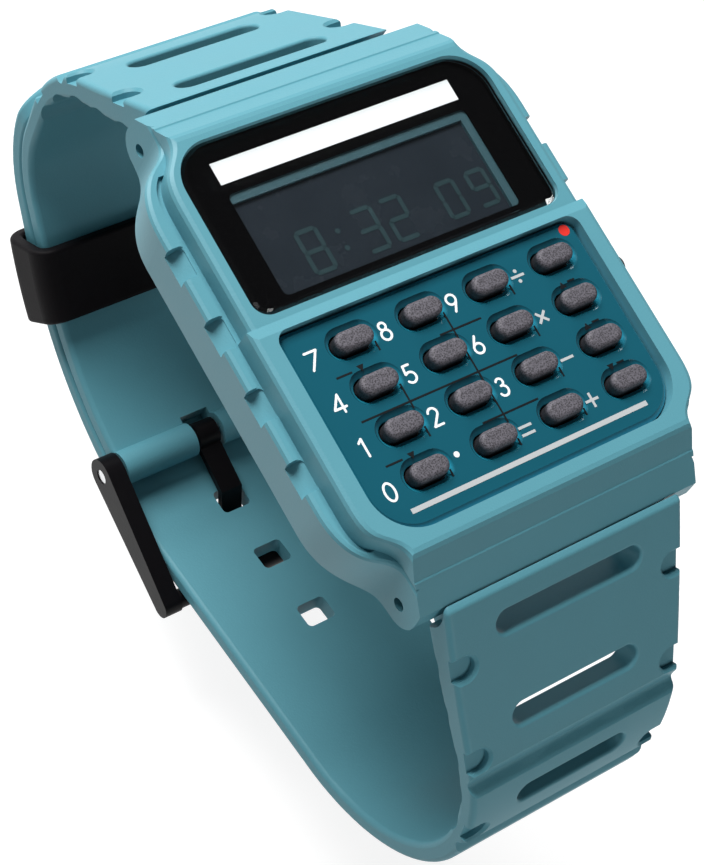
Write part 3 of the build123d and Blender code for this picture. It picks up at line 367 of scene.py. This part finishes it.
def speckled_rubber_with_painted_shade(name, tint):
    """Key rubber: painted shade darkens the sides under a paler top, with fine dark pits round the points of
    a cell pattern.
    """
    material = moulded(name, tint, 0.6, 0.15, 9000, 0.00004, 0.35)
    tree = material.node_tree
    place = node(tree, "ShaderNodeTexCoord", (-1300, -500))
    pits = node(tree, "ShaderNodeTexVoronoi", (-1100, -500), Scale=PITS_PER_METRE)
    speck = map_range(tree, (-850, -500), 0.12, 0.7, 0.25, 1.42)
    # Painted shade: the key sides darken to a fifth of the colour deep below the top and reach full colour
    # near the top
    painted_side_shade = by_height(tree, KEY_TOP - KEY_PAINTED_SHADE[0], KEY_TOP - KEY_PAINTED_SHADE[1], 0.2, 1.0)
    both = node(tree, "ShaderNodeMath", (-600, -350), operation="MULTIPLY")
    link = tree.links.new
    link(place.outputs["Object"], pits.inputs["Vector"])
    link(pits.outputs["Distance"], speck.inputs["Value"])
    link(speck.outputs["Result"], both.inputs[0])
    link(painted_side_shade, both.inputs[1])
    scale_colour(material, both.outputs[0])
    return material


def plate_with_painted_light(name, tint):
    """The tinted plate with painted light: paler below its top, on the bevels and hole mouths of the clear
    plastic.
    """
    material = moulded(name, tint, 0.2, 0.05, 900, 0.000004, 0.5, 0.6)
    low, high = PANEL_TOP - PANEL_PAINTED_LIGHT[0], PANEL_TOP - PANEL_PAINTED_LIGHT[1]
    # Painted light: below the plate's top its colour is raised up to three times, falling back to the plain
    # colour at the top
    scale_colour(material, by_height(material.node_tree, low, high, 3.0, 1.0))
    return material


def clear_window(name):
    """Polished clear window with a faint unevenness, which lets lamp light through to what lies under it."""
    material, tree, shader = new_material(name)
    shader.inputs["Base Color"].default_value = (0.97, 0.98, 0.98, 1)
    shader.inputs["Transmission Weight"].default_value = 1.0
    shader.inputs["Roughness"].default_value = 0.02
    shader.inputs["IOR"].default_value = 1.49
    place = node(tree, "ShaderNodeTexCoord", (-700, -200))
    cloud = node(tree, "ShaderNodeTexNoise", (-500, -200), Scale=90.0, Detail=2.0)
    bump = node(tree, "ShaderNodeBump", (-250, -250), Strength=0.2, Distance=0.00002)
    path = node(tree, "ShaderNodeLightPath", (-900, 200))
    dim = node(tree, "ShaderNodeMath", (-650, 200), operation="MAXIMUM")
    solid = node(tree, "ShaderNodeMath", (-450, 200), operation="SUBTRACT")
    solid.inputs[0].default_value = 1.0
    link = tree.links.new
    link(place.outputs["Object"], cloud.inputs["Vector"])
    link(cloud.outputs["Fac"], bump.inputs["Height"])
    link(bump.outputs["Normal"], shader.inputs["Normal"])
    link(path.outputs["Is Shadow Ray"], dim.inputs[0])
    link(path.outputs["Is Diffuse Ray"], dim.inputs[1])
    link(dim.outputs[0], solid.inputs[1])
    link(solid.outputs[0], shader.inputs["Alpha"])
    return material


def finishes():
    """Every material of the CAD nodes, by its name."""
    look, _ = settings()
    # Tint, roughness, its spread, grain per metre, grain depth in metres, specular, coat, metal share
    rows = {
        "resin_case": (look.resin, 0.44, 0.06, 6000, 0.000012, 0.28),
        "resin_strap": (look.resin, 0.5, 0.07, 5000, 0.000016, 0.25),
        "black_resin": (look.black, 0.4, 0.1, 4000, 0.00001, 0.12),
        "black_rubber": (look.black, 0.6, 0.1, 4000, 0.00002, 0.1),
        "mask_print": (MASK_BLACK, 0.6, 0.02, 900, 0.000002, 0.0),
        "white_strip": (look.print_white, 0.35, 0.02, 3000, 0.000003),
        "display_cell": (look.display, 0.25, 0.3, 400, 0.000002, 0.2),
        "brushed_steel": (STEEL, 0.28, 0.1, 4000, 0.000006, 0.5, 0.0, 1.0),
        "spring_steel": (BRIGHT_STEEL, 0.22, 0.1, 3000, 0.000004, 0.5, 0.0, 1.0),
        "contact_brass": (BRASS, 0.25, 0.1, 3000, 0.000004, 0.5, 0.0, 1.0),
        "coil_copper": (COPPER, 0.3, 0.1, 7000, 0.00003, 0.5, 0.0, 1.0),
        "black_moulding": (srgb(34, 34, 36), 0.5, 0.1, 3000, 0.00001),
        "board_resist": (srgb(30, 92, 52), 0.35, 0.15, 1500, 0.00001, 0.5, 0.3),
        "grey_rubber": (srgb(132, 136, 138), 0.6, 0.08, 3000, 0.00001),
        "contact_rubber": (srgb(206, 176, 180), 0.6, 0.2, 6000, 0.00001),
        "fired_ceramic": (srgb(178, 142, 100), 0.6, 0.1, 4000, 0.00001),
    }
    made = {name: moulded(name, *row) for name, row in rows.items()}
    made["keypad_plate"] = plate_with_painted_light("keypad_plate", look.panel)
    made["key_rubber"] = speckled_rubber_with_painted_shade("key_rubber", look.rubber)
    made["window_clear"] = clear_window("window_clear")
    return made


# Mesh helpers


def arc(x, y, half_x, half_y, start, end):
    """Points on an ellipse between two angles in degrees, by the cosine and sine of the angle."""
    turn = np.radians(start + (end - start) * ARC)
    return np.column_stack([x + half_x * np.cos(turn), y + half_y * np.sin(turn)])


def figure_strokes():
    """Lines of each plain figure, in a box one high with its middle at the origin."""
    ring = arc(0, -0.21, 0.29, 0.29, 0, 360)
    hook = np.vstack([arc(0, 0.23, 0.27, 0.27, 165, -35), [(-0.26, -0.5)]])
    belly = arc(-0.01, -0.2, 0.3, 0.3, 130, -145)
    return {
        "0": [arc(0, 0, 0.3, 0.5, 0, 360)],
        "1": [[(-0.18, 0.32), (0.04, 0.5)], [(0.04, 0.5), (0.04, -0.5)]],
        "2": [hook, [(-0.26, -0.5), (0.28, -0.5)]],
        "3": [arc(-0.02, 0.29, 0.21, 0.21, 155, -90), arc(-0.02, -0.21, 0.28, 0.29, 95, -155)],
        "4": [[(0.12, 0.5), (0.12, -0.5)], [(0.12, 0.5), (-0.4, -0.24)], [(-0.4, -0.24), (0.32, -0.24)]],
        "5": [[(0.18, 0.5), (-0.18, 0.5)], [(-0.18, 0.5), (-0.23, 0.03)], belly],
        "6": [ring, [(-0.25, -0.065), (0.07, 0.5)]],
        "7": [[(-0.36, 0.5), (0.36, 0.5)], [(0.36, 0.5), (-0.3, -0.5)]],
        "8": [arc(0, 0.29, 0.21, 0.21, 0, 360), ring],
        "9": [arc(0, 0.21, 0.29, 0.29, 0, 360), [(0.25, 0.065), (-0.07, -0.5)]],
    }


def rounded(line, width):
    """A line and its half widths: an open end goes on by the sine of a turn, its width by the cosine."""
    line = np.asarray(line, float)
    half = np.full(len(line), width / 2)
    if np.allclose(line[0], line[-1]):
        return line, half
    back = (line[0] - line[1]) / np.linalg.norm(line[0] - line[1])
    ahead = (line[-1] - line[-2]) / np.linalg.norm(line[-1] - line[-2])
    reach = width / 2 * np.sin(CAP)[:, None]
    cap = width / 2 * np.cos(CAP)
    line = np.vstack([(line[0] + reach * back)[::-1], line, line[-1] + reach * ahead])
    return line, np.concatenate([cap[::-1], half, cap])


def strip(line, half, low, high):
    """A line given width and height: each point goes to both sides by its half width on the mean normal."""
    line = np.asarray(line, float)
    half = np.broadcast_to(half, len(line))[:, None]
    closed = np.allclose(line[0], line[-1])
    legs = np.diff(line, axis=0)
    legs /= np.linalg.norm(legs, axis=1)[:, None]
    before = np.vstack([legs[-1] if closed else legs[0], legs])
    after = np.vstack([legs, legs[0] if closed else legs[-1]])
    normal = np.column_stack([-(before + after)[:, 1], (before + after)[:, 0]])
    normal /= (normal ** 2).sum(1)[:, None] / 2
    sides = [line + normal * half, line - normal * half]
    count = len(line)
    points = [np.column_stack([side, np.full(count, z)]) for z in (low, high) for side in sides]
    first = np.arange(count - 1)
    grid = []
    for a, b in ((0, 2), (2, 3), (3, 1), (1, 0)):
        near, far = first + a * count, first + b * count
        grid.append(np.column_stack([near, near + 1, far + 1, far]))
    faces = np.vstack(grid).tolist()
    if not closed:
        last = count - 1
        faces.append([0, 2 * count, 3 * count, count])
        faces.append([last, last + count, last + 3 * count, last + 2 * count])
    return np.vstack(points), faces


def cross(x, y, arm, half, turn):
    """The outline of two crossing bars as one shape, turned by an angle in degrees."""
    quarter = np.array([(arm, -half), (arm, half), (half, half)])
    corner = np.array([[0, -1], [1, 0]])
    outline = [quarter]
    for _ in range(3):
        outline.append(outline[-1] @ corner.T)
    across, up = np.cos(np.radians(turn)), np.sin(np.radians(turn))
    return np.vstack(outline) @ np.array([[across, up], [-up, across]]) + (x, y)


def plate(outline, low, high):
    """A flat shape between two heights: its outline carried straight up."""
    outline = np.asarray(outline, float)
    count = len(outline)
    bottom = np.column_stack([outline, np.full(count, low)])
    top = np.column_stack([outline, np.full(count, high)])
    first = np.arange(count)
    after = (first + 1) % count
    walls = np.column_stack([first, after, after + count, first + count]).tolist()
    faces = [list(range(count))[::-1], list(range(count, 2 * count))] + walls
    return np.vstack([bottom, top]), faces


def dot(x, y, radius, low, high):
    """A round dot between two heights: a circle carried straight up."""
    return plate(arc(x, y, radius, radius, 0, 360)[:-1], low, high)


def joined(shapes):
    """Several shapes as one set of points and faces."""
    points = []
    faces = []
    start = 0
    for shape, sides in shapes:
        points.append(shape)
        faces += [[index + start for index in side] for side in sides]
        start += len(shape)
    return np.vstack(points), faces


def add_piece(name, shapes, material, body):
    """Add a new piece from points and faces, riding on a body."""
    points, faces = joined(shapes)
    mesh = bpy.data.meshes.new(name)
    mesh.from_pydata(points.tolist(), [], faces)
    mesh.update()
    piece = bpy.data.objects.new(name, mesh)
    bpy.context.scene.collection.objects.link(piece)
    piece.data.materials.append(material)
    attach(piece, body)


def key_centres():
    """Centre of each key in plan, by node name."""
    places = {}
    for name in KEY_NAMES:
        low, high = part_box(name)
        places[name] = np.array([(low.x + high.x) / 2, (low.y + high.y) / 2])
    return places


# Shapes of the prints


def figure_shapes(places, size, low, high):
    """The figures and the point beside their keys: each line a strip, the next one a step higher."""
    shapes = []
    for figure, lines in figure_strokes().items():
        middle = places["key_" + figure] + mm(FIGURE_SHIFT)
        for step, line in enumerate(lines):
            line, half = rounded(np.asarray(line) * size.figure_height + middle, size.figure_stroke)
            shapes.append(strip(line, half, low, high + step * STROKE_STEP))
    shapes.append(dot(*(places["key_point"] + mm(POINT_SHIFT)), POINT_RADIUS * MM, low, high))
    return shapes


def sign_shapes(places, size, low, high):
    """The signs beside their keys, from strips, dots and crossed bars, and the long bar under the keys."""
    half = size.sign_stroke / 2
    arm = SIGN_ARM * MM
    across = np.array([(-arm, 0), (arm, 0)])
    names = ("divide", "multiply", "minus", "plus", "equals")
    middles = {name: places["key_" + name] + mm(SIGN_SHIFT) for name in names}
    shapes = [strip(across + middles[name], half, low, high) for name in ("divide", "minus")]
    for side in (-1, 1):
        x, y = middles["divide"] + mm((0, side * DIVIDE_DOT_SHIFT))
        shapes.append(dot(x, y, DIVIDE_DOT_RADIUS * MM, low, high))
        shapes.append(strip(across + middles["equals"] + mm((0, side * EQUALS_SHIFT)), half, low, high))
    shapes.append(plate(cross(*middles["multiply"], arm, half, 45), low, high))
    shapes.append(plate(cross(*middles["plus"], arm, half, 0), low, high))
    shapes.append(strip(mm(BAR_LINE), BAR_HALF * MM, low, high))
    return shapes


def line_shapes(size, low, high):
    """The thin lines, those across a step higher than those down, and the triangles, by thirds of a turn."""
    half = size.line_width / 2
    shapes = [strip(mm([(x, start), (x, end)]), half, low, high) for x, start, end in DOWN_LINES]
    for y, start, end in ACROSS_LINES:
        shapes.append(strip(mm([(start, y), (end, y)]), half, low, high + STROKE_STEP))
    for x, y, way in TRIANGLES:
        turn = np.radians(90 * way + np.array([0, 120, 240]))
        corners = mm((x, y)) + TRIANGLE_RADIUS * MM * np.column_stack([np.cos(turn), np.sin(turn)])
        shapes.append(plate(corners, low, high))
    return shapes


def segment_lines(tall, wide):
    """Middle lines of a figure's seven segments by letter, in a box with its middle at the origin."""
    right = wide / 2
    top = tall / 2
    gap = SEGMENT_GAP
    return {
        "a": ((gap - right, top), (right - gap, top)),
        "b": ((right, top - gap), (right, gap)),
        "c": ((right, -gap), (right, gap - top)),
        "d": ((gap - right, -top), (right - gap, -top)),
        "e": ((-right, -gap), (-right, gap - top)),
        "f": ((-right, top - gap), (-right, gap)),
        "g": ((gap - right, 0), (right - gap, 0)),
    }


def display_shapes(low, high):
    """The lit segments of each display figure as strips with round ends, and the two dots."""
    shapes = []
    for figure, x, y, tall, wide in DISPLAY_FIGURES:
        lines = segment_lines(tall, wide)
        for letter in LIT_SEGMENTS[figure]:
            line, half = rounded((np.array(lines[letter]) + (x, y)) * MM, SEGMENT_STROKE * MM)
            shapes.append(strip(line, half, low, high))
    for place in DISPLAY_DOTS:
        shapes.append(dot(*mm(place), DISPLAY_DOT_RADIUS * MM, low, high))
    return shapes


# Stage helpers


def add_floor(half):
    """Add a floor that takes shadows, with a white glow for camera, mirrored and passing rays alone."""
    corners = [(x, y, FLOOR_Z) for x, y in ((-half, -half), (half, -half), (half, half), (-half, half))]
    mesh = bpy.data.meshes.new("floor")
    mesh.from_pydata(corners, [], [(0, 1, 2, 3)])
    floor = bpy.data.objects.new("floor", mesh)
    bpy.context.scene.collection.objects.link(floor)
    material, tree, shader = new_material("floor_white")
    shader.inputs["Base Color"].default_value = FLOOR_TINT
    shader.inputs["Roughness"].default_value = 0.8
    shader.inputs["Specular IOR Level"].default_value = 0.1
    shader.inputs["Emission Color"].default_value = (1, 1, 1, 1)
    path = node(tree, "ShaderNodeLightPath", (-900, -300))
    seen = node(tree, "ShaderNodeMath", (-650, -300), operation="MAXIMUM")
    also = node(tree, "ShaderNodeMath", (-450, -300), operation="MAXIMUM")
    strength = node(tree, "ShaderNodeMath", (-250, -300), operation="MULTIPLY")
    strength.inputs[1].default_value = FLOOR_GLOW
    link = tree.links.new
    link(path.outputs["Is Camera Ray"], seen.inputs[0])
    link(path.outputs["Is Glossy Ray"], seen.inputs[1])
    link(seen.outputs[0], also.inputs[0])
    link(path.outputs["Is Transmission Ray"], also.inputs[1])
    link(also.outputs[0], strength.inputs[0])
    link(strength.outputs[0], shader.inputs["Emission Strength"])
    floor.data.materials.append(material)


def add_world():
    """Add a faint, even light from all sides."""
    world = bpy.data.worlds.new("studio")
    bpy.context.scene.world = world
    world.use_nodes = True
    background = world.node_tree.nodes["Background"]
    background.inputs["Color"].default_value = WORLD_TINT
    background.inputs["Strength"].default_value = WORLD_STRENGTH


def add_lamps():
    """Add the square lamps, each turned so that it faces the point it aims at."""
    for name, place, aim, width, power, tone in LAMPS:
        lamp = bpy.data.lights.new(name, "AREA")
        lamp.shape = "SQUARE"
        lamp.size = width
        lamp.energy = power
        lamp.color = tone
        holder = bpy.data.objects.new(name, lamp)
        bpy.context.scene.collection.objects.link(holder)
        reach = Vector(aim) - Vector(place)
        holder.rotation_mode = "QUATERNION"
        holder.rotation_quaternion = reach.to_track_quat("-Z", "Y")
        holder.location = place


def add_camera():
    """Add the photograph's camera and make it the scene's."""
    camera = bpy.data.cameras.new("photo_camera")
    camera.sensor_width = SENSOR
    camera.lens = CAMERA_LENS
    camera.clip_start, camera.clip_end = CAMERA_CLIP
    holder = bpy.data.objects.new("photo_camera", camera)
    bpy.context.scene.collection.objects.link(holder)
    turn = Matrix(CAMERA_TURN).to_4x4()
    turn.translation = CAMERA_PLACE
    holder.matrix_world = turn
    bpy.context.scene.camera = holder


# Operators


class WATCH_OT_finishes(bpy.types.Operator):
    """Give every part of the frame its finish"""

    bl_idname = "watch.finishes"
    bl_label = "Finishes"

    def execute(self, context):
        made = finishes()
        worn = {name: finish for finish, names in WORN.items() for name in names}
        for name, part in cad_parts.items():
            part.data.materials.clear()
            part.data.materials.append(made[worn[name]])
        return {"FINISHED"}


class WATCH_OT_keypad_print(bpy.types.Operator):
    """Print the figures, signs, lines and bar on the keypad plate"""

    bl_idname = "watch.keypad_print"
    bl_label = "Keypad print"

    def execute(self, context):
        look, size = settings()
        low = PANEL_TOP
        high = PANEL_TOP + size.print_height
        places = key_centres()
        white = moulded("figure_white", look.print_white, 0.4, 0.02, 3000, 0.000002)
        grey = moulded("sign_grey", look.print_grey, 0.4, 0.04, 3000, 0.000002)
        black = moulded("line_black", LINE_BLACK, 0.4, 0.02, 3000, 0.000002)
        red = moulded("mark_red", look.print_red, 0.35, 0.03, 3000, 0.000002)
        mark = dot(*mm(MARK_PLACE), MARK_RADIUS * MM, low, high)
        add_piece("key_figures", figure_shapes(places, size, low, high), white, "case")
        add_piece("key_signs", sign_shapes(places, size, low, high), grey, "case")
        add_piece("round_mark", [mark], red, "case")
        add_piece("panel_lines", line_shapes(size, low, high), black, "case")
        return {"FINISHED"}


class WATCH_OT_display(bpy.types.Operator):
    """Lay the segment figures and the light edge of the display under its window"""

    bl_idname = "watch.display"
    bl_label = "Display"

    def execute(self, context):
        look, _ = settings()
        segment = moulded("segment_print", look.segments, 0.3, 0.1, 900, 0.000002, 0.3)
        edge = moulded("display_edge", look.display_edge, 0.35, 0.1, 900, 0.000002)
        figures = display_shapes(LCD_TOP, LCD_TOP + SEGMENT_HEIGHT * MM)
        bands = [plate(mm(band), LCD_TOP, LCD_TOP + EDGE_HEIGHT * MM) for band in EDGE_BANDS]
        add_piece("display_figures", figures, segment, "case")
        add_piece("display_edge", bands, edge, "case")
        return {"FINISHED"}


class WATCH_OT_stage(bpy.types.Operator):
    """Set the floor, the soft lamps and the camera of the photograph"""

    bl_idname = "watch.stage"
    bl_label = "Stage"

    def execute(self, context):
        _, size = settings()
        add_floor(size.floor_half)
        add_world()
        add_lamps()
        add_camera()
        context.scene.view_settings.view_transform = "Standard"
        return {"FINISHED"}


class WATCH_PT_panel(bpy.types.Panel):
    """Buttons for the watch in the sidebar"""

    bl_label = "Calculator watch"
    bl_idname = "WATCH_PT_panel"
    bl_space_type = "VIEW_3D"
    bl_region_type = "UI"
    bl_category = "Watch"

    def draw(self, context):
        layout = self.layout
        for name in WatchFinish.__annotations__:
            layout.prop(context.scene.watch_finish, name)
        for name in WatchSizes.__annotations__:
            layout.prop(context.scene.watch_sizes, name)
        for operator in OPERATORS:
            layout.operator(operator.bl_idname)


OPERATORS = (WATCH_OT_finishes, WATCH_OT_keypad_print, WATCH_OT_display, WATCH_OT_stage)
CLASSES = (WatchFinish, WatchSizes) + OPERATORS + (WATCH_PT_panel,)


def register():
    """Add the classes and the scene's settings."""
    for made in CLASSES:
        bpy.utils.register_class(made)
    bpy.types.Scene.watch_finish = PointerProperty(type=WatchFinish)
    bpy.types.Scene.watch_sizes = PointerProperty(type=WatchSizes)


def unregister():
    """Take the settings and the classes away again."""
    del bpy.types.Scene.watch_sizes
    del bpy.types.Scene.watch_finish
    for made in reversed(CLASSES):
        bpy.utils.unregister_class(made)


def main():
    """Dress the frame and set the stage."""
    register()
    bpy.ops.watch.finishes()
    bpy.ops.watch.keypad_print()
    bpy.ops.watch.display()
    bpy.ops.watch.stage()


if __name__ == "__main__":
    main()
